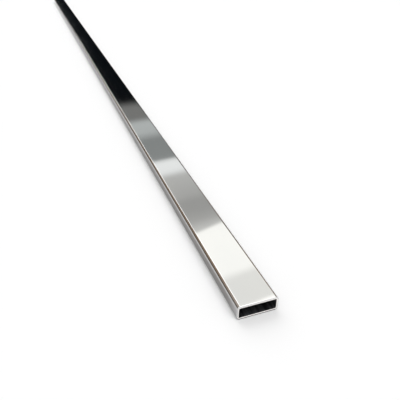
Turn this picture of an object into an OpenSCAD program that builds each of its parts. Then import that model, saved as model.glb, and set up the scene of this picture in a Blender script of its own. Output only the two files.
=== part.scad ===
// Rectangular hollow tube of stainless steel: one straight length of welded, polished stock.
// The length runs along Y, the wide faces lie level, and the tube rests on z = 0.

/* [Section] */
// Outside width of the tube, across its wide faces
tube_width = 40; // [25:1:100]
// Outside height of the tube, across its narrow faces
tube_height = 15; // [12:1:40]
// Wall thickness
wall = 2; // [1.5:0.1:3]
// Inside radius of the four bends along the tube
bend_radius = 1; // [0.4:0.1:2]

/* [Length] */
// Length of the cut piece
tube_length = 2000; // [250:50:6000]

/* [Cut ends] */
// Size of the bevel that breaks the outer edge of each sawn end
outer_deburr = 0.8; // [0.2:0.1:1]
// Size of the bevel that breaks the inner edge of each sawn end
inner_deburr = 0.25; // [0.1:0.05:0.4]

/* [Weld seam] */
// Width of the seam's bead, on the inside of the lower wall
bead_width = 2.5; // [1:0.25:4]
// Height of the bead above the inside of the lower wall
bead_height = 0.3; // [0.1:0.05:0.5]

/* [Hidden] */
$fn = 96;
steel = [0.80, 0.80, 0.81];

// Clear space inside the tube
bore_width = tube_width - 2 * wall;
bore_height = tube_height - 2 * wall;

// Flat stretches between the bends, the same on the inside and the outside
wide_flat = bore_width - 2 * bend_radius;
narrow_flat = bore_height - 2 * bend_radius;

// Circle that the bead's round top is part of
bead_radius = (bead_width * bead_width / 4 + bead_height * bead_height) / (2 * bead_height);
bead_length = tube_length - 2 * inner_deburr;

// The wall cut lengthwise: x runs from the bore out to the skin, y along the tube, and both
// sawn ends have their inner and outer edges broken.
module wall_profile() {
    half = tube_length / 2;
    polygon([
        [0, inner_deburr - half],
        [inner_deburr, -half],
        [wall - outer_deburr, -half],
        [wall, outer_deburr - half],
        [wall, half - outer_deburr],
        [wall - outer_deburr, half],
        [inner_deburr, half],
        [0, half - inner_deburr]
    ]);
}

// One flat side of the tube, its bore face on the plane x = 0
module flat_side(flat) {
    rotate([90, 0, 0])
        linear_extrude(height = flat, center = true)
            wall_profile();
}

// One bend, a quarter turn of the same wall about the bend's own axis
module bend() {
    rotate_extrude(angle = 90)
        translate([bend_radius, 0])
            wall_profile();
}

// Half of the section's ring, seen along the tube: a narrow side, a bend, a wide side and a
// bend. Half a turn about the tube's axis gives the other half.
module half_section() {
    translate([bore_width / 2, 0, 0])
        flat_side(narrow_flat);
    translate([wide_flat / 2, narrow_flat / 2, 0])
        bend();
    translate([0, bore_height / 2, 0])
        rotate([0, 0, 90])
            flat_side(wide_flat);
    translate([-wide_flat / 2, narrow_flat / 2, 0])
        rotate([0, 0, 90])
            bend();
}

// Low round bead that the weld leaves inside the tube, standing on the lower wall
module seam_bead() {
    translate([0, -bore_height / 2, 0])
        linear_extrude(height = bead_length, center = true)
            intersection() {
                translate([0, bead_height - bead_radius])
                    circle(r = bead_radius);
                translate([-bead_width / 2, 0])
                    square([bead_width, bead_height]);
            }
}

module tube() {
    color(steel)
        translate([0, 0, tube_height / 2])
            rotate([90, 0, 0])
                union() {
                    for (turn = [0, 180])
                        rotate([0, 0, turn])
                            half_section();
                    seam_bead();
                }
}

tube();
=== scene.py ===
"""Dresses one length of mirror-polished rectangular steel tube, lying on a white studio floor.

Geometry Nodes sweep the tube round its section. Its wide faces, bends, narrow faces, sawn rims and
bore each have a material of their own; the bends carry a painted brown reflection, the narrow
faces and lower bends painted shade, the rims' feet and the lower edges under the ends painted
contact shade, and the bore's dark steel is partly painted shade. The studio is a white floor under
a soft dome, with strips of light that the polished faces mirror.
"""

import logging
import math
from abc import ABC, abstractmethod
from dataclasses import dataclass
from enum import Enum
from typing import Any, Iterable

import bpy
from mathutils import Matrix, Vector


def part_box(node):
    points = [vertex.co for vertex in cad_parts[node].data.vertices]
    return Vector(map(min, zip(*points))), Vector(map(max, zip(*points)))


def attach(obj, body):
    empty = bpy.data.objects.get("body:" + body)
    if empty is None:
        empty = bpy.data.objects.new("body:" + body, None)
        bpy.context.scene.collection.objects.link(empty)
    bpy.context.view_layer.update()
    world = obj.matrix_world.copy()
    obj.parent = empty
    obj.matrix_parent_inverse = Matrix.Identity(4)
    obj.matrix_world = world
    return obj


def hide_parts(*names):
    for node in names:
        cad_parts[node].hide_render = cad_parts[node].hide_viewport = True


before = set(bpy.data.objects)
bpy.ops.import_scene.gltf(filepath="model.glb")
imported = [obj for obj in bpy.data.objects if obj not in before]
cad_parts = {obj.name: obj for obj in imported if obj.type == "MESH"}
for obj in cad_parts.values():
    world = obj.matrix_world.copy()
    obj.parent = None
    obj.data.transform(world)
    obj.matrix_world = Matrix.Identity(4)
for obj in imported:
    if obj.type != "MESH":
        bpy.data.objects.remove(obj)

Colour = tuple[float, float, float]
Tone = tuple[float, Colour, float]
Socket = bpy.types.NodeSocket
Sockets = bpy.types.bpy_prop_collection
Value = Socket | float

LOG = logging.getLogger("steel_tube")
MM = 0.001
QUARTER_TURN = math.pi / 2
WHITE = (1.0, 1.0, 1.0, 1.0)

# Most of a grain's values lie between these two
GRAIN_LOW = 0.3
GRAIN_HIGH = 0.7

# The colours' places among the Mix node's sockets
MIX_COLOURS_IN = (6, 7)
MIX_COLOUR_OUT = 2

# A rounded loop's corners, and the points on the flats beside each
CORNERS = 4
POINTS_BESIDE = 2

# Angles that the studio's colour ramps run over: above the horizon, and from overhead to the right
RISE_RANGE_DEG = (0.0, 90.0)
LEAN_RANGE_DEG = (-90.0, 90.0)


class Zone(Enum):
    """The tube's surfaces, each with its own material, some with painted reflection and shade."""

    SKIN = "polished_skin"
    BEND = "brown_bend"
    SIDE = "grey_side"
    RIM = "sawn_rim"
    BORE = "mill_bore"


class Tint(Enum):
    """The casts of the studio's light."""

    COOL = (0.95, 1.0, 0.99)
    CLEAR = (0.985, 1.0, 0.995)
    PLAIN = (1.0, 1.0, 0.97)
    WARM = (1.0, 0.995, 0.96)
    NIGHT = (0.8, 1.0, 1.3)


class Graph:
    """Adds nodes to one node tree and links them."""

    def __init__(self, tree: bpy.types.NodeTree) -> None:
        """Keeps the tree that the nodes go into."""
        self.tree = tree

    def add(self, kind: str, **settings: Any) -> bpy.types.Node:
        """Adds one node.

        Args:
            kind: Blender's name for the type of node.
            settings: properties of the node, by name.

        Returns:
            The new node.
        """
        node = self.tree.nodes.new(kind)
        for name, value in settings.items():
            setattr(node, name, value)
        return node

    def feed(self, socket: Socket, value: Any) -> None:
        """Links an output to an input, or sets the input's own value.

        Args:
            socket: the input to feed.
            value: an output socket, or a plain value.
        """
        if isinstance(value, Socket):
            self.tree.links.new(value, socket)
        else:
            socket.default_value = value

    def call(self, kind: str, inputs: dict[Any, Any], **settings: Any) -> Socket:
        """Adds a node, feeds its inputs and gives its first output.

        Args:
            kind: Blender's name for the type of node.
            inputs: values or output sockets, by the input's name or place.
            settings: properties of the node, by name.

        Returns:
            The node's first output.
        """
        node = self.add(kind, **settings)
        for name, value in inputs.items():
            self.feed(node.inputs[name], value)
        return node.outputs[0]

    def math(self, operation: str, *values: Value) -> Socket:
        """Adds a Math node on up to three values and gives its result."""
        return self.call("ShaderNodeMath", dict(enumerate(values)), operation=operation)

    def total(self, *values: Value) -> Value:
        """Adds up values with a chain of Math nodes.

        Args:
            values: the numbers or sockets to add.

        Returns:
            Their total.
        """
        result = values[0]
        for value in values[1:]:
            result = self.math("ADD", result, value)
        return result

    def vector(self, x: Value, y: Value, z: Value) -> Socket:
        """Joins three numbers into a vector."""
        return self.call("ShaderNodeCombineXYZ", {"X": x, "Y": y, "Z": z})

    def split(self, vector: Socket) -> Sockets:
        """Splits a vector into its parts.

        Args:
            vector: the vector's socket.

        Returns:
            The sockets X, Y and Z.
        """
        node = self.add("ShaderNodeSeparateXYZ")
        self.feed(node.inputs["Vector"], vector)
        return node.outputs

    def blend(self, factor: Socket, first: Socket | Colour, second: Socket | Colour) -> Socket:
        """Mixes two colours by a factor that changes from place to place.

        Args:
            factor: 0 gives the first colour and 1 the second.
            first: linear colour or socket at 0.
            second: linear colour or socket at 1.

        Returns:
            The mixed colour.
        """
        node = self.add("ShaderNodeMix", data_type="RGBA")
        self.feed(node.inputs["Factor"], factor)
        for place, colour in zip(MIX_COLOURS_IN, (first, second)):
            value = (*colour, 1.0) if isinstance(colour, tuple) else colour
            self.feed(node.inputs[place], value)
        return node.outputs[MIX_COLOUR_OUT]

    def spread(
        self,
        value: Socket,
        low: Value,
        high: Value,
        start: Value = GRAIN_LOW,
        end: Value = GRAIN_HIGH,
    ) -> Socket:
        """Maps a value onto a range of results, held at both ends.

        Args:
            value: the value to map.
            low: result at start.
            high: result at end.
            start: value that gives low.
            end: value that gives high.

        Returns:
            The mapped value.
        """
        limits = {"From Min": start, "From Max": end, "To Min": low, "To Max": high}
        return self.call("ShaderNodeMapRange", {"Value": value, **limits})


def new_group(
    name: str, kind: str, inputs: dict[str, tuple[str, Any]], outputs: dict[str, str]
) -> bpy.types.NodeTree:
    """Makes an empty node group with named sockets.

    Args:
        name: the group's name.
        kind: Blender's name for the type of tree.
        inputs: each input's socket type and its usual value, or None.
        outputs: each output's socket type.

    Returns:
        The group.
    """
    tree = bpy.data.node_groups.new(name, kind)
    for label, (socket_type, value) in inputs.items():
        socket = tree.interface.new_socket(label, in_out="INPUT", socket_type=socket_type)
        if value is not None:
            socket.default_value = value
    for label, socket_type in outputs.items():
        tree.interface.new_socket(label, in_out="OUTPUT", socket_type=socket_type)
    return tree


def stretched_grain() -> bpy.types.NodeTree:
    """Gives the shader group for grain that is drawn out along one axis, made once and shared.

    Returns:
        A group from frequencies along X, Y and Z, in cycles per metre, to a value from 0 to 1.
    """
    name = "Stretched Grain"
    if name in bpy.data.node_groups:
        return bpy.data.node_groups[name]
    inputs = {"Frequency": ("NodeSocketVector", None), "Detail": ("NodeSocketFloat", None)}
    tree = new_group(name, "ShaderNodeTree", inputs, {"Grain": "NodeSocketFloat"})
    graph = Graph(tree)
    given = graph.add("NodeGroupInput").outputs
    place = graph.add("ShaderNodeTexCoord").outputs["Object"]
    stretched = graph.call(
        "ShaderNodeVectorMath", {0: place, 1: given["Frequency"]}, operation="MULTIPLY"
    )
    noise = graph.call(
        "ShaderNodeTexNoise", {"Vector": stretched, "Scale": 1.0, "Detail": given["Detail"]}
    )
    graph.feed(graph.add("NodeGroupOutput").inputs["Grain"], noise)
    return tree


class SteelFinish(ABC):
    """What the tube's finishes share: a metal surface and grain groups to vary it."""

    zone: Zone

    @abstractmethod
    def material(self) -> bpy.types.Material:
        """Makes the finish's material."""

    def start(self) -> tuple[bpy.types.Material, Graph, Sockets]:
        """Makes the zone's material, with a metal Principled shader.

        Returns:
            The material, the graph of its tree and its shader's inputs.
        """
        material = bpy.data.materials.new(self.zone.value)
        material.use_nodes = True
        shader = material.node_tree.nodes["Principled BSDF"]
        shader.inputs["Metallic"].default_value = 1.0
        return material, Graph(material.node_tree), shader.inputs

    def place(self, graph: Graph) -> Sockets:
        """Gives the X, Y and Z sockets of the point that is shaded, in metres."""
        return graph.split(graph.add("ShaderNodeTexCoord").outputs["Object"])

    def grain(self, graph: Graph, frequency: Iterable[float], detail: float) -> Socket:
        """Places the shared grain group in a material.

        Args:
            graph: the material's graph.
            frequency: cycles per metre along X, Y and Z.
            detail: octaves of finer noise.

        Returns:
            The grain's value.
        """
        node = graph.add("ShaderNodeGroup", node_tree=stretched_grain())
        node.inputs["Frequency"].default_value = tuple(frequency)
        node.inputs["Detail"].default_value = detail
        return node.outputs["Grain"]

    def drawn_grain(self, graph: Graph, across: float, along: float, detail: float) -> Socket:
        """Places grain that is drawn out along the tube, by its cycles per metre each way."""
        return self.grain(graph, (across, along, across), detail)

    def bump(self, graph: Graph, shader: Sockets, height: Socket, depth: float) -> None:
        """Raises the surface by a height map.

        Args:
            graph: the material's graph.
            shader: the inputs of the shader whose normal is set.
            height: the height, from 0 to 1.
            depth: how far a height of 1 stands out, in metres.
        """
        values = {"Strength": 1.0, "Distance": depth, "Height": height}
        graph.feed(shader["Normal"], graph.call("ShaderNodeBump", values))


@dataclass(frozen=True)
class PolishedSkin(SteelFinish):
    """Mirror polish outside: fine lines along the tube, faint smears and a slight waviness."""

    zone: Zone = Zone.SKIN
    glance: float = 1.0
    steel: Colour = (0.53, 0.53, 0.525)
    dull_steel: Colour = (0.50, 0.505, 0.505)
    clean_roughness: float = 0.03
    lines_per_metre: float = 2500.0
    line_repeats: float = 9.0
    line_detail: float = 3.0
    line_roughness: float = 0.01
    smears_per_metre: float = 45.0
    smear_repeats: float = 14.0
    smear_detail: float = 4.0
    smear_roughness: float = 0.015
    smear_start: float = 0.5
    smear_end: float = 0.75
    waves_per_metre: float = 30.0
    wave_repeats: float = 7.0
    wave_detail: float = 0.0
    wave_depth: float = 0.01 * MM

    def toned(self, graph: Graph, colour: Socket) -> Socket:
        """Changes the steel's colour from place to place, which the plain skin leaves as it is.

        Args:
            graph: the material's graph, not used here.
            colour: the steel's colour.

        Returns:
            The colour that is used.
        """
        return colour

    def material(self) -> bpy.types.Material:
        """Makes the finish's material.

        Returns:
            The material.
        """
        material, graph, shader = self.start()
        shader["Specular Tint"].default_value = (self.glance, self.glance, self.glance, 1.0)
        lines = self.drawn_grain(
            graph, self.lines_per_metre, self.line_repeats, self.line_detail
        )
        smears = self.drawn_grain(
            graph, self.smears_per_metre, self.smear_repeats, self.smear_detail
        )
        waves = self.drawn_grain(
            graph, self.waves_per_metre, self.wave_repeats, self.wave_detail
        )
        colour = graph.blend(smears, self.steel, self.dull_steel)
        graph.feed(shader["Base Color"], self.toned(graph, colour))
        smeared = graph.spread(
            smears, 0.0, self.smear_roughness, self.smear_start, self.smear_end
        )
        lined = graph.spread(lines, 0.0, self.line_roughness)
        graph.feed(shader["Roughness"], graph.total(self.clean_roughness, smeared, lined))
        self.bump(graph, shader, waves, self.wave_depth)
        return material


@dataclass(frozen=True, kw_only=True)
class PaintedReflectionBend(PolishedSkin):
    """The upper bends, with a painted brown reflection: darker and brown, plain polish lower down.
    """

    zone: Zone = Zone.BEND
    # Brown steel that paints a reflection on the upper bends
    reflected_brown: Colour = (0.235, 0.182, 0.140)
    fade_low: float
    fade_high: float
    tube_end: float
    # The painted reflection thins over this reach at each end, by this share
    end_reach: float = 45.0 * MM
    end_share: float = 0.35

    def toned(self, graph: Graph, colour: Socket) -> Socket:
        """Paints the brown reflection on the steel above the fade, fainter towards both ends.

        Args:
            graph: the material's graph.
            colour: the steel's colour.

        Returns:
            The colour that is used.
        """
        place = self.place(graph)
        brown = graph.spread(place["Z"], 0.0, 1.0, self.fade_low, self.fade_high)
        along = graph.math("ABSOLUTE", place["Y"])
        end_from = self.tube_end - self.end_reach
        left = graph.spread(along, 1.0, 1.0 - self.end_share, end_from, self.tube_end)
        return graph.blend(graph.math("MULTIPLY", brown, left), colour, self.reflected_brown)


@dataclass(frozen=True, kw_only=True)
class ShadedSide(PolishedSkin):
    """The same polish on the narrow faces, greyer as painted shade, less sharp, painted brighter at
    the ends.
    """

    zone: Zone = Zone.SIDE
    # The lower glance and greyer steel paint shade on the narrow faces
    glance: float = 0.7
    steel: Colour = (0.333, 0.32, 0.308)
    dull_steel: Colour = (0.302, 0.29, 0.282)
    clean_roughness: float = 0.12
    tube_end: float
    # Towards each end, over this reach, a painted brighter reflection in this steel
    end_reach: float = 22.0 * MM
    end_lit_steel: Colour = (0.53, 0.53, 0.53)

    def toned(self, graph: Graph, colour: Socket) -> Socket:
        """Paints a brighter reflection on the steel towards both ends of the tube.

        Args:
            graph: the material's graph.
            colour: the steel's colour.

        Returns:
            The colour that is used.
        """
        along = graph.math("ABSOLUTE", self.place(graph)["Y"])
        end_from = self.tube_end - self.end_reach
        end_lit = graph.spread(along, 0.0, 1.0, end_from, self.tube_end)
        return graph.blend(end_lit, colour, self.end_lit_steel)


@dataclass(frozen=True)
class SawnRim(SteelFinish):
    """Sawn end: a pale satin ring with fine saw lines across it and a painted contact shadow along
    its foot.
    """

    zone: Zone = Zone.RIM
    bright_steel: Colour = (0.97, 0.945, 0.92)
    grey_steel: Colour = (0.90, 0.875, 0.85)
    # Dark colour that paints a contact shadow along the ring's foot, near the floor
    painted_foot_shade: Colour = (0.12, 0.12, 0.125)
    foot_shade_low: float = 1.1 * MM
    foot_shade_high: float = 1.4 * MM
    saw_lines_per_metre: float = 3500.0
    saw_repeats: float = 120.0
    saw_detail: float = 2.0
    saw_depth: float = 0.015 * MM
    low_roughness: float = 0.22
    high_roughness: float = 0.36

    def material(self) -> bpy.types.Material:
        """Makes the finish's material.

        Returns:
            The material.
        """
        material, graph, shader = self.start()
        lines = self.saw_lines_per_metre
        saw = self.grain(graph, (self.saw_repeats, lines, lines), self.saw_detail)
        ring = graph.blend(saw, self.grey_steel, self.bright_steel)
        height = self.place(graph)["Z"]
        # Paints the dark contact shadow on the ring below this height
        foot = graph.spread(height, 1.0, 0.0, self.foot_shade_low, self.foot_shade_high)
        graph.feed(shader["Base Color"], graph.blend(foot, ring, self.painted_foot_shade))
        rough = graph.spread(saw, self.high_roughness, self.low_roughness)
        graph.feed(shader["Roughness"], rough)
        self.bump(graph, shader, saw, self.saw_depth)
        return material


@dataclass(frozen=True)
class MillBore(SteelFinish):
    """Streaked dark mill finish inside, partly painted shade, and painted shade under the ends."""

    zone: Zone = Zone.BORE
    # The steel's darkness is partly a dull mill finish and partly painted shade in the bore
    dark_steel: Colour = (0.10, 0.10, 0.11)
    streak_steel: Colour = (0.21, 0.21, 0.225)
    streaks_per_metre: float = 700.0
    streak_repeats: float = 12.0
    streak_detail: float = 3.0
    streak_depth: float = 0.02 * MM
    low_roughness: float = 0.38
    high_roughness: float = 0.6

    def material(self) -> bpy.types.Material:
        """Makes the finish's material.

        Returns:
            The material.
        """
        material, graph, shader = self.start()
        streaks = self.drawn_grain(
            graph, self.streaks_per_metre, self.streak_repeats, self.streak_detail
        )
        tone = graph.spread(streaks, 0.0, 1.0)
        colour = graph.blend(tone, self.dark_steel, self.streak_steel)
        graph.feed(shader["Base Color"], colour)
        rough = graph.spread(streaks, self.low_roughness, self.high_roughness)
        graph.feed(shader["Roughness"], rough)
        self.bump(graph, shader, streaks, self.streak_depth)
        return material


@dataclass
class SteelTube:
    """One straight length of rectangular tube, swept round its section with rounded cut edges."""

    width: float
    height: float
    length: float
    wall: float = 2.0 * MM
    bend_radius: float = 1.0 * MM
    outer_edge: float = 0.8 * MM
    inner_edge: float = 0.25 * MM
    bead_width: float = 2.5 * MM
    bead_height: float = 0.3 * MM
    bead_seat: float = 0.4 * MM
    bend_points: int = 17
    edge_points: int = 7
    bead_points: int = 13
    flat_margin: float = 0.1 * MM
    edge_margin: float = 0.05 * MM
    rim_slack: float = 0.003 * MM
    bore_slack_share: float = 0.25
    # Tilts from level on the upper bends: where the painted brown reflection starts, where it is
    # full, and where plain polish takes over
    reflection_from: float = math.radians(5)
    reflection_until: float = math.radians(50)
    plain_polish_from: float = math.radians(70)
    crease_angle: float = math.radians(25)
    node: str = "tube"
    slot: str = "polished_steel"

    @classmethod
    def in_frame(cls) -> "SteelTube":
        """Takes the tube's outside sizes from the frame."""
        low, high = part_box(cls.node)
        return cls(*(high - low).xzy)

    def bend_level(self, tilt: float) -> float:
        """Gives the height on an upper bend where its surface is tilted by an angle from level."""
        radius = self.wall + self.bend_radius
        return self.height - radius * (1.0 - math.cos(tilt))

    def finishes(self) -> dict[Zone, bpy.types.Material]:
        """Makes the finishes, fitted to the tube's size.

        Returns:
            The material of each zone.
        """
        tube_end = self.length / 2
        bend = PaintedReflectionBend(
            fade_low=self.bend_level(self.plain_polish_from),
            fade_high=self.bend_level(self.reflection_until),
            tube_end=tube_end,
        )
        finishes = (PolishedSkin(), bend, ShadedSide(tube_end=tube_end), SawnRim(), MillBore())
        return {finish.zone: finish.material() for finish in finishes}

    def rounded_loop(self) -> bpy.types.NodeTree:
        """Makes the group for a closed rectangle with round corners.

        A point close to each end of every straight side keeps the flats flat when they are shaded.

        Returns:
            A group from the loop's sizes to its curve, centred in the XY plane.
        """
        lengths = ("Width", "Height", "Right Radius", "Left Radius", "Margin")
        inputs = {label: ("NodeSocketFloat", None) for label in lengths}
        inputs["Corner Points"] = ("NodeSocketInt", None)
        outputs = {"Curve": "NodeSocketGeometry"}
        tree = new_group("Rounded Loop", "GeometryNodeTree", inputs, outputs)
        graph = Graph(tree)
        given = graph.add("NodeGroupInput").outputs
        per_corner = graph.math("ADD", given["Corner Points"], POINTS_BESIDE)
        count = graph.math("MULTIPLY", per_corner, CORNERS)
        loop = graph.call("GeometryNodeCurvePrimitiveCircle", {"Resolution": count}, mode="RADIUS")

        # Half a step guards the count of corners against rounding
        index = graph.add("GeometryNodeInputIndex").outputs[0]
        past_index = graph.math("ADD", index, 0.5)
        corner = graph.math("FLOOR", graph.math("DIVIDE", past_index, per_corner))
        step = graph.math("SUBTRACT", index, graph.math("MULTIPLY", corner, per_corner))
        turn = graph.spread(step, 0.0, 1.0, 1.0, given["Corner Points"])
        angle = graph.math("MULTIPLY", graph.math("ADD", corner, turn), QUARTER_TURN)
        middle = graph.math("MULTIPLY", graph.math("ADD", corner, 0.5), QUARTER_TURN)
        right = graph.math("SIGN", graph.math("COSINE", middle))
        upper = graph.math("SIGN", graph.math("SINE", middle))
        on_right = graph.math("GREATER_THAN", right, 0.0)
        radius = graph.spread(on_right, given["Left Radius"], given["Right Radius"], 0.0, 1.0)

        # The first and the last point of each corner lie on the flats beside it
        last = graph.math("ADD", given["Corner Points"], 0.5)
        after = graph.math("GREATER_THAN", step, last)
        before = graph.math("LESS_THAN", step, 0.5)
        slide = graph.math("MULTIPLY", given["Margin"], graph.math("SUBTRACT", after, before))
        cosine = graph.math("COSINE", angle)
        sine = graph.math("SINE", angle)

        def coordinate(side: Socket, size: Socket, outward: Socket, along: Socket) -> Value:
            """Places a point on one axis: the corner's centre, its arc and the slide.

            Args:
                side: the side of the loop that the corner is on, -1 or 1.
                size: the loop's size on this axis.
                outward: the part of the arc's radius on this axis.
                along: the part of the slide on this axis.

            Returns:
                The coordinate.
            """
            centre = graph.math("SUBTRACT", graph.math("MULTIPLY", size, 0.5), radius)
            return graph.total(
                graph.math("MULTIPLY", side, centre),
                graph.math("MULTIPLY", radius, outward),
                graph.math("MULTIPLY", slide, along),
            )

        x = coordinate(right, given["Width"], cosine, graph.math("MULTIPLY", sine, -1.0))
        y = coordinate(upper, given["Height"], sine, cosine)
        placed = graph.call(
            "GeometryNodeSetPosition", {"Geometry": loop, "Position": graph.vector(x, y, 0.0)}
        )
        graph.feed(graph.add("NodeGroupOutput").inputs["Curve"], placed)
        return tree

    def sweep_tree(self, finishes: dict[Zone, bpy.types.Material]) -> bpy.types.NodeTree:
        """Makes the tree that sweeps the wall, welds the seam's bead in and dresses the tube.

        The wall's lengthwise cut, with its rounded ends, runs round the outline of the bore.

        Args:
            finishes: the material of each zone.

        Returns:
            The tree, with the tube's sizes as its inputs.
        """
        sizes = {label: ("NodeSocketFloat", value) for label, value in self.sizes().items()}
        outputs = {"Geometry": "NodeSocketGeometry"}
        tree = new_group("Tube Sweep", "GeometryNodeTree", sizes, outputs)
        graph = Graph(tree)
        given = graph.add("NodeGroupInput").outputs
        loop_tree = self.rounded_loop()

        def loop(**values: Value) -> Socket:
            """Places one rounded loop.

            Args:
                values: the loop's inputs, by name.

            Returns:
                The loop's curve.
            """
            node = graph.add("GeometryNodeGroup", node_tree=loop_tree)
            for label, value in values.items():
                graph.feed(node.inputs[label.replace("_", " ").title()], value)
            return node.outputs[0]

        def less_two_walls(size: Socket) -> Socket:
            """Takes a wall off both sides of an outside size."""
            return graph.math("MULTIPLY_ADD", given["Wall"], -2.0, size)

        bore_width = less_two_walls(given["Width"])
        bore_height = less_two_walls(given["Height"])
        outline = loop(
            width=bore_width,
            height=bore_height,
            right_radius=given["Bend Radius"],
            left_radius=given["Bend Radius"],
            corner_points=self.bend_points,
            margin=self.flat_margin,
        )
        outline = graph.call("GeometryNodeSetCurveNormal", {"Curve": outline}, mode="Z_UP")
        wall_cut = loop(
            width=given["Wall"],
            height=given["Length"],
            right_radius=given["Outer Edge"],
            left_radius=given["Inner Edge"],
            corner_points=self.edge_points,
            margin=self.edge_margin,
        )
        outward = graph.vector(graph.math("MULTIPLY", given["Wall"], 0.5), 0.0, 0.0)
        wall_cut = graph.call(
            "GeometryNodeTransform", {"Geometry": wall_cut, "Translation": outward}
        )
        swept = graph.call(
            "GeometryNodeCurveToMesh", {"Curve": outline, "Profile Curve": wall_cut}
        )
        welded = self.with_bead(graph, given, swept, bore_height)
        half_height = graph.math("MULTIPLY", given["Height"], 0.5)
        laid = graph.call(
            "GeometryNodeTransform",
            {
                "Geometry": welded,
                "Translation": graph.vector(0.0, 0.0, half_height),
                "Rotation": (QUARTER_TURN, 0.0, 0.0),
            },
        )
        dressed = self.dressed(graph, given, laid, bore_width, bore_height, finishes)
        graph.feed(graph.add("NodeGroupOutput").inputs["Geometry"], dressed)
        return tree

    def with_bead(
        self, graph: Graph, given: Sockets, swept: Socket, bore_height: Socket
    ) -> Socket:
        """Joins the seam's bead to the lower wall, inside the bore.

        The bead is a segment of a circle, let into the wall by the depth of its seat.

        Args:
            graph: the sweep's graph.
            given: the sweep's inputs.
            swept: the tube without its bead.
            bore_height: clear height of the bore.

        Returns:
            The tube with its bead, one closed mesh.
        """
        half_width = graph.math("MULTIPLY", given["Bead Width"], 0.5)
        height = given["Bead Height"]
        squares = graph.math(
            "ADD", graph.math("POWER", half_width, 2.0), graph.math("POWER", height, 2.0)
        )
        radius = graph.math("DIVIDE", squares, graph.math("MULTIPLY", height, 2.0))
        depth = graph.math("ADD", height, self.bead_seat)
        cosine = graph.math("SUBTRACT", 1.0, graph.math("DIVIDE", depth, radius))
        half_angle = graph.math("ARCCOSINE", cosine)
        arc = graph.call(
            "GeometryNodeCurveArc",
            {
                "Resolution": self.bead_points,
                "Radius": radius,
                "Start Angle": graph.math("SUBTRACT", QUARTER_TURN, half_angle),
                "Sweep Angle": graph.math("MULTIPLY", half_angle, 2.0),
            },
            mode="RADIUS",
        )
        segment = graph.call("GeometryNodeSetSplineCyclic", {"Geometry": arc, "Cyclic": True})
        top = graph.math("SUBTRACT", height, graph.math("MULTIPLY", bore_height, 0.5))
        centre = graph.vector(0.0, graph.math("SUBTRACT", top, radius), 0.0)
        segment = graph.call(
            "GeometryNodeTransform", {"Geometry": segment, "Translation": centre}
        )
        edge = graph.math("MULTIPLY", given["Inner Edge"], 2.0)
        end = graph.math("MULTIPLY", graph.math("SUBTRACT", given["Length"], edge), 0.5)
        start = graph.math("MULTIPLY", end, -1.0)
        path = graph.call(
            "GeometryNodeCurvePrimitiveLine",
            {"Start": graph.vector(0.0, 0.0, start), "End": graph.vector(0.0, 0.0, end)},
        )
        bead = graph.call(
            "GeometryNodeCurveToMesh",
            {"Curve": path, "Profile Curve": segment, "Fill Caps": True},
        )
        union = graph.add("GeometryNodeMeshBoolean", operation="UNION", solver="EXACT")
        graph.feed(union.inputs["Mesh 2"], bead)
        graph.feed(union.inputs["Mesh 2"], swept)
        return union.outputs["Mesh"]

    def dressed(
        self,
        graph: Graph,
        given: Sockets,
        mesh: Socket,
        bore_width: Socket,
        bore_height: Socket,
        finishes: dict[Zone, bpy.types.Material],
    ) -> Socket:
        """Shades the mesh smooth, apart from its creases, and gives each zone its finish.

        Args:
            graph: the sweep's graph.
            given: the sweep's inputs.
            mesh: the whole tube, laid down in the frame.
            bore_width: clear width of the bore.
            bore_height: clear height of the bore.
            finishes: the material of each zone.

        Returns:
            The dressed mesh, its instances realized.
        """
        smooth = graph.call(
            "GeometryNodeSetShadeSmooth", {"Geometry": mesh, "Shade Smooth": True}, domain="FACE"
        )
        angle = graph.add("GeometryNodeInputMeshEdgeAngle").outputs["Unsigned Angle"]
        soft = graph.math("LESS_THAN", angle, self.crease_angle)
        creased = graph.call(
            "GeometryNodeSetShadeSmooth", {"Geometry": smooth, "Shade Smooth": soft}, domain="EDGE"
        )

        place = graph.split(graph.add("GeometryNodeInputPosition").outputs[0])
        half_width, half_height, half_length = (
            graph.math("MULTIPLY", given[size], 0.5) for size in ("Width", "Height", "Length")
        )
        across = graph.math("ABSOLUTE", place["X"])
        along = graph.math("ABSOLUTE", place["Y"])
        aloft = graph.math("ABSOLUTE", graph.math("SUBTRACT", place["Z"], half_height))

        def within(value: Socket, size: Socket) -> Socket:
            """Tells where a distance from the middle is inside half a size, with a little slack."""
            slack = graph.math("MULTIPLY", given["Wall"], self.bore_slack_share)
            return graph.math("LESS_THAN", value, graph.math("MULTIPLY_ADD", size, 0.5, slack))

        def beyond(value: Socket, limit: Socket, short: Value) -> Socket:
            """Tells where a distance passes a limit, less a margin."""
            return graph.math("GREATER_THAN", value, graph.math("SUBTRACT", limit, short))

        inside = graph.math("MULTIPLY", within(across, bore_width), within(aloft, bore_height))
        edge = graph.spread(inside, self.rim_slack, given["Inner Edge"], 0.0, 1.0)
        on_rim = beyond(along, half_length, edge)
        on_edge = beyond(along, half_length, given["Outer Edge"])
        # The upper bends, past a small tilt, carry the painted brown reflection
        bend = graph.math("ADD", given["Wall"], given["Bend Radius"])
        past_flat = graph.math("MULTIPLY", bend, 1.0 - math.sin(self.reflection_from))
        in_corner = graph.math(
            "MULTIPLY",
            beyond(across, half_width, past_flat),
            beyond(place["Z"], given["Height"], bend),
        )
        on_bend = graph.math("GREATER_THAN", in_corner, on_edge)
        at_foot = graph.math("LESS_THAN", place["Z"], given["Wall"])
        # The lower bends take the narrow faces' painted shade
        low_bend = graph.math("MULTIPLY", at_foot, beyond(across, half_width, bend))
        on_side = graph.math("MAXIMUM", low_bend, beyond(across, half_width, self.rim_slack))
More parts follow.
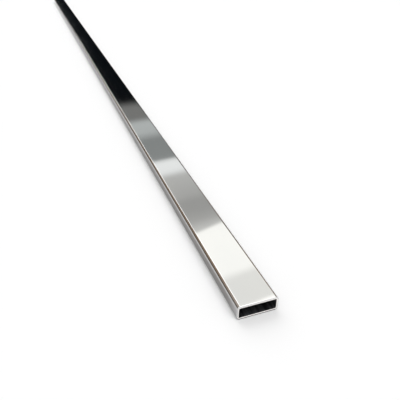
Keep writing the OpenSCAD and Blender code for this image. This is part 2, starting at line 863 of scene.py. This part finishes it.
        # The outer edge at each end's foot takes the bore's dark steel as painted contact shade
        shaded_under_edge = graph.math("MULTIPLY", on_edge, at_foot)
        bore_and_shaded_edge = graph.math("MAXIMUM", inside, shaded_under_edge)
        result = graph.call("GeometryNodeRealizeInstances", {"Geometry": creased})
        zones = (
            (Zone.SKIN, True),
            (Zone.SIDE, on_side),
            (Zone.BEND, on_bend),
            (Zone.BORE, bore_and_shaded_edge),
            (Zone.RIM, on_rim),
        )
        for zone, chosen in zones:
            values = {"Geometry": result, "Selection": chosen, "Material": finishes[zone]}
            result = graph.call("GeometryNodeSetMaterial", values)
        return result

    def sizes(self) -> dict[str, float]:
        """Lists the sizes that the sweep's inputs take, by the input's name."""
        return {
            "Width": self.width,
            "Height": self.height,
            "Length": self.length,
            "Wall": self.wall,
            "Bend Radius": self.bend_radius,
            "Outer Edge": self.outer_edge,
            "Inner Edge": self.inner_edge,
            "Bead Width": self.bead_width,
            "Bead Height": self.bead_height,
        }

    def build(self) -> bpy.types.Object:
        """Sweeps and dresses the tube, and fixes it in the frame in place of its plain solid.

        Returns:
            The finished piece, a plain mesh.
        """
        piece = bpy.data.objects.new("rectangular_tube", bpy.data.meshes.new("rectangular_tube"))
        bpy.context.scene.collection.objects.link(piece)
        sweep = piece.modifiers.new("Tube Sweep", "NODES")
        sweep.node_group = self.sweep_tree(self.finishes())
        values = self.sizes()
        for item in sweep.node_group.interface.items_tree:
            if item.in_out == "INPUT":
                sweep[item.identifier] = values[item.name]
        evaluated = piece.evaluated_get(bpy.context.evaluated_depsgraph_get())
        mesh = bpy.data.meshes.new_from_object(evaluated)
        piece.modifiers.remove(sweep)
        piece.data = mesh
        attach(piece, "root")
        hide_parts(self.node)
        return piece


@dataclass(frozen=True)
class LightStrip:
    """A strip that the polished faces mirror, by its lower edge and its levels from there up."""

    low_deg: float
    low_level: float
    high_level: float
    soft_deg: float
    tint: Tint = Tint.PLAIN

    def colour(self, level: float) -> Colour:
        """Gives the strip's colour at a level."""
        return tuple(channel * level for channel in self.tint.value)


@dataclass(frozen=True)
class WallTone:
    """The studio's tone at one lean to the right of overhead, and how far it hides the strips."""

    lean_deg: float
    colour: Colour
    cover: float = 1.0


@dataclass(frozen=True)
class SoftSun:
    """A wide light from far off, by its share of the floor's brightness."""

    name: str
    turn_deg: float
    share: float
    height_deg: float = 35.0
    spread_deg: float = 60.0

    def build(self, floor_colour: Colour) -> bpy.types.Object:
        """Hangs the light, which the mirror faces don't show.

        Args:
            floor_colour: the floor that it lights.

        Returns:
            The light.
        """
        turn, height = math.radians(self.turn_deg), math.radians(self.height_deg)
        light = bpy.data.lights.new(self.name, "SUN")
        light.energy = self.share * math.pi / (floor_colour[0] * math.sin(height))
        light.angle = math.radians(self.spread_deg)
        sun = bpy.data.objects.new(self.name, light)
        level = math.cos(height)
        came_from = Vector((math.sin(turn) * level, math.cos(turn) * level, math.sin(height)))
        sun.rotation_euler = came_from.to_track_quat("Z", "Y").to_euler()
        sun.visible_glossy = False
        bpy.context.scene.collection.objects.link(sun)
        return sun


@dataclass
class Studio:
    """White floor, soft dome, suns, and the strips and walls that mirrors see ahead."""

    floor_side: float = 60.0
    floor_colour: Colour = (0.95, 0.95, 0.95)
    dome_share: float = 0.40
    suns: tuple[SoftSun, ...] = (
        SoftSun("back_sun", 0.0, 0.16),
        SoftSun("front_sun", 180.0, 0.45, 60.0),
    )
    backdrop_level: float = 1.0
    low_level: float = 1.0
    high_level: float = 2.0
    brightest: float = 4.0
    ahead_slope: float = 0.4
    ahead_soft: float = 0.05
    strip_turn: float = math.radians(9)
    strips: tuple[LightStrip, ...] = (
        LightStrip(0.0, 0.006, 0.006, 0.0, Tint.NIGHT),
        LightStrip(20.25, 0.30, 0.285, 0.8),
        LightStrip(22.6, 0.78, 0.74, 0.6, Tint.COOL),
        LightStrip(24.8, 0.41, 0.43, 1.0, Tint.COOL),
        LightStrip(28.35, 1.46, 1.42, 0.45, Tint.CLEAR),
        LightStrip(30.45, 0.81, 0.69, 0.7),
        LightStrip(34.3, 0.58, 0.59, 1.0),
        LightStrip(36.8, 0.67, 0.80, 1.4),
        LightStrip(38.5, 0.99, 1.14, 0.9),
    )
    panel_turn: float = math.radians(18)
    panel_low_deg: float = 42.1
    panel_soft_deg: float = 0.4
    panel: tuple[LightStrip, ...] = (
        LightStrip(0.0, 1.79, 1.81, 0.0, Tint.WARM),
        LightStrip(46.3, 1.40, 1.39, 1.0, Tint.WARM),
        LightStrip(50.85, 2.10, 2.10, 0.4, Tint.WARM),
    )
    wall_foot: tuple[float, float] = (math.radians(7), math.radians(13))
    walls: tuple[WallTone, ...] = (
        WallTone(-90.0, (0.08, 0.08, 0.08)),
        WallTone(-68.0, (0.27, 0.26, 0.25)),
        WallTone(-55.0, (0.72, 0.69, 0.665), 0.9),
        WallTone(-35.0, (0.86, 0.83, 0.80), 0.7),
        WallTone(-10.0, (0.86, 0.83, 0.80), 0.7),
        WallTone(12.0, (0.90, 0.87, 0.84), 0.8),
        WallTone(17.0, (4.00, 4.00, 4.00)),
        WallTone(21.0, (4.00, 4.00, 4.00)),
        WallTone(24.0, (4.00, 4.00, 4.00), 0.0),
        WallTone(55.0, (0.38, 0.42, 0.46), 0.0),
        WallTone(62.0, (0.38, 0.42, 0.46)),
    )

    def build(self) -> list[bpy.types.Object]:
        """Makes the floor, the suns and the world.

        Returns:
            The floor and the suns.
        """
        made = [self.build_floor(), *(sun.build(self.floor_colour) for sun in self.suns)]
        self.build_world()
        return made

    def build_floor(self) -> bpy.types.Object:
        """Lays the white floor at the tube's foot.

        Returns:
            The floor.
        """
        half = self.floor_side / 2
        mesh = bpy.data.meshes.new("studio_floor")
        corners = [(-half, -half, 0.0), (half, -half, 0.0), (half, half, 0.0), (-half, half, 0.0)]
        mesh.from_pydata(corners, [], [(0, 1, 2, 3)])
        floor = bpy.data.objects.new("studio_floor", mesh)
        bpy.context.scene.collection.objects.link(floor)
        material = bpy.data.materials.new("white_floor")
        material.use_nodes = True
        shader = material.node_tree.nodes["Principled BSDF"]
        shader.inputs["Base Color"].default_value = (*self.floor_colour, 1.0)
        shader.inputs["Roughness"].default_value = 1.0
        shader.inputs["Specular IOR Level"].default_value = 0.0
        mesh.materials.append(material)
        return floor

    def build_world(self) -> None:
        """Makes the dome: white to the camera, even for the floor, in strips for mirrors."""
        world = bpy.data.worlds.new("studio_world")
        world.use_nodes = True
        world.node_tree.nodes.clear()
        graph = Graph(world.node_tree)

        def lit(colour: Socket | tuple[float, ...], strength: float) -> Socket:
            """Gives a background of one colour and strength."""
            values = {"Color": colour, "Strength": strength}
            return graph.call("ShaderNodeBackground", values)

        white = lit(WHITE, self.backdrop_level)
        even = lit(WHITE, self.dome_share / self.floor_colour[0])
        banded = lit(self.mirrored_colour(graph), self.brightest)
        ray = graph.add("ShaderNodeLightPath").outputs
        glossy = graph.math("MAXIMUM", ray["Is Glossy Ray"], ray["Is Transmission Ray"])
        direct = graph.math("LESS_THAN", ray["Diffuse Depth"], 0.5)
        mirrored = graph.math("MULTIPLY", glossy, direct)
        unseen = graph.call("ShaderNodeMixShader", {0: mirrored, 1: even, 2: banded})
        shown = graph.call("ShaderNodeMixShader", {0: ray["Is Camera Ray"], 1: unseen, 2: white})
        graph.feed(graph.add("ShaderNodeOutputWorld").inputs["Surface"], shown)
        bpy.context.scene.world = world

    def mirrored_colour(self, graph: Graph) -> Socket:
        """Gives what a mirror sees in a direction, as a share of the brightest level.

        Ahead of the camera are level strips, turned a little, between walls that lean to the left
        and the right of the tube and stop short of the horizon. Everywhere else the dome goes
        plainly from its low to its high level.

        Args:
            graph: the world's graph.

        Returns:
            The colour.
        """
        direction = graph.add("ShaderNodeTexCoord").outputs["Generated"]
        across, _, height = self.axes(graph, direction, 0.0)
        aside, away, _ = self.axes(graph, direction, self.strip_turn)
        _, panel_away, _ = self.axes(graph, direction, self.panel_turn)
        rise = graph.math("ARCTAN2", height, graph.math("ABSOLUTE", away))
        panel_rise = graph.math("ARCTAN2", height, graph.math("ABSOLUTE", panel_away))
        lean = graph.math("ARCTAN2", across, height)

        half_soft = self.panel_soft_deg / 2
        panel_low = math.radians(self.panel_low_deg - half_soft)
        panel_high = math.radians(self.panel_low_deg + half_soft)
        on_panel = graph.spread(panel_rise, 0.0, 1.0, panel_low, panel_high)
        strips = self.strip_colour(graph, rise, self.strips)
        panel = self.strip_colour(graph, rise, self.panel)
        colour = graph.blend(on_panel, strips, panel)

        tones = [(wall.lean_deg, wall.colour, wall.cover) for wall in self.walls]
        walls = self.ramp(graph, lean, LEAN_RANGE_DEG, tones)
        above_foot = graph.spread(rise, 0.0, 1.0, *self.wall_foot)
        cover = graph.math("MULTIPLY", walls["Alpha"], above_foot)
        colour = graph.blend(cover, colour, walls["Color"])

        side = graph.math("MULTIPLY", graph.math("ABSOLUTE", aside), self.ahead_slope)
        forward = graph.math("SUBTRACT", away, side)
        ahead = graph.spread(forward, 0.0, 1.0, -self.ahead_soft, self.ahead_soft)
        low, high = (self.share((level,) * 3) for level in (self.low_level, self.high_level))
        return graph.blend(ahead, graph.blend(height, low, high), colour)

    def axes(self, graph: Graph, direction: Socket, turn: float) -> tuple[Socket, ...]:
        """Splits a direction into its parts across, along and above an axis turned about Z.

        Args:
            graph: the world's graph.
            direction: the direction's socket.
            turn: the axis's turn from Y to the left, in radians.

        Returns:
            The sockets of the three parts.
        """
        values = {"Vector": direction, "Angle": -turn}
        turned = graph.call("ShaderNodeVectorRotate", values, rotation_type="Z_AXIS")
        return tuple(graph.split(turned))

    def strip_colour(
        self, graph: Graph, rise: Socket, strips: tuple[LightStrip, ...]
    ) -> Socket:
        """Stacks strips above one another.

        Args:
            graph: the world's graph.
            rise: the angle above the horizon, in radians.
            strips: the strips, from the lowest up.

        Returns:
            The colour at that angle.
        """
        lowest = strips[0]
        tones = [(lowest.low_deg, lowest.colour(lowest.low_level), 1.0)]
        for below, strip in zip(strips, strips[1:]):
            half_soft = strip.soft_deg / 2
            tones.append((strip.low_deg - half_soft, below.colour(below.high_level), 1.0))
            tones.append((strip.low_deg + half_soft, strip.colour(strip.low_level), 1.0))
        return self.ramp(graph, rise, RISE_RANGE_DEG, tones)["Color"]

    def ramp(
        self, graph: Graph, angle: Socket, range_deg: tuple[float, float], tones: list[Tone]
    ) -> Sockets:
        """Adds a colour ramp over an angle.

        Args:
            graph: the world's graph.
            angle: the angle, in radians.
            range_deg: angles at the ramp's start and end.
            tones: angle, colour and cover of each stop, in order.

        Returns:
            The ramp's outputs.
        """
        low, high = range_deg
        node = graph.add("ShaderNodeValToRGB")
        place = graph.spread(angle, 0.0, 1.0, math.radians(low), math.radians(high))
        graph.feed(node.inputs["Fac"], place)
        stops = node.color_ramp.elements
        stops.remove(stops[1])
        for index, (degrees, colour, cover) in enumerate(tones):
            position = (degrees - low) / (high - low)
            stop = stops[0] if index == 0 else stops.new(position)
            stop.position = position
            stop.color = (*self.share(colour), cover)
        return node.outputs

    def share(self, colour: Colour) -> Colour:
        """Gives a colour as a share of the brightest level."""
        return tuple(channel / self.brightest for channel in colour)


@dataclass
class PhotoCamera:
    """The camera at the photograph's viewing angle, set out from the tube's near end."""

    frame_px: float = 400.0
    focal_px: float = 448.7
    sensor: float = 36.0
    clip_start: float = 0.01
    clip_end: float = 200.0
    left: float = 143.9 * MM
    back: float = 250.4 * MM
    up: float = 292.7 * MM
    pitch: float = math.radians(31.48)
    yaw: float = math.radians(19.81)

    def build(self, near_end: float) -> bpy.types.Object:
        """Makes the camera and hands it to the scene.

        Args:
            near_end: the near end's place along Y.

        Returns:
            The camera.
        """
        data = bpy.data.cameras.new("photo_camera")
        data.sensor_width = self.sensor
        data.lens = self.sensor * self.focal_px / self.frame_px
        data.clip_start, data.clip_end = self.clip_start, self.clip_end
        camera = bpy.data.objects.new("photo_camera", data)
        camera.location = (-self.left, near_end - self.back, self.up)
        camera.rotation_euler = (QUARTER_TURN - self.pitch, 0.0, -self.yaw)
        bpy.context.scene.collection.objects.link(camera)
        bpy.context.scene.camera = camera
        return camera


def main() -> None:
    """Builds the tube, its studio and the camera."""
    logging.basicConfig(level=logging.INFO, format="%(message)s")
    bpy.context.scene.view_settings.view_transform = "Standard"
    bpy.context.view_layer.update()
    tube = SteelTube.in_frame()
    piece = tube.build()
    LOG.info("%s: %d faces", piece.name, len(piece.data.polygons))
    for thing in (*Studio().build(), PhotoCamera().build(-tube.length / 2)):
        LOG.info("%s: in place", thing.name)


if __name__ == "__main__":
    main()
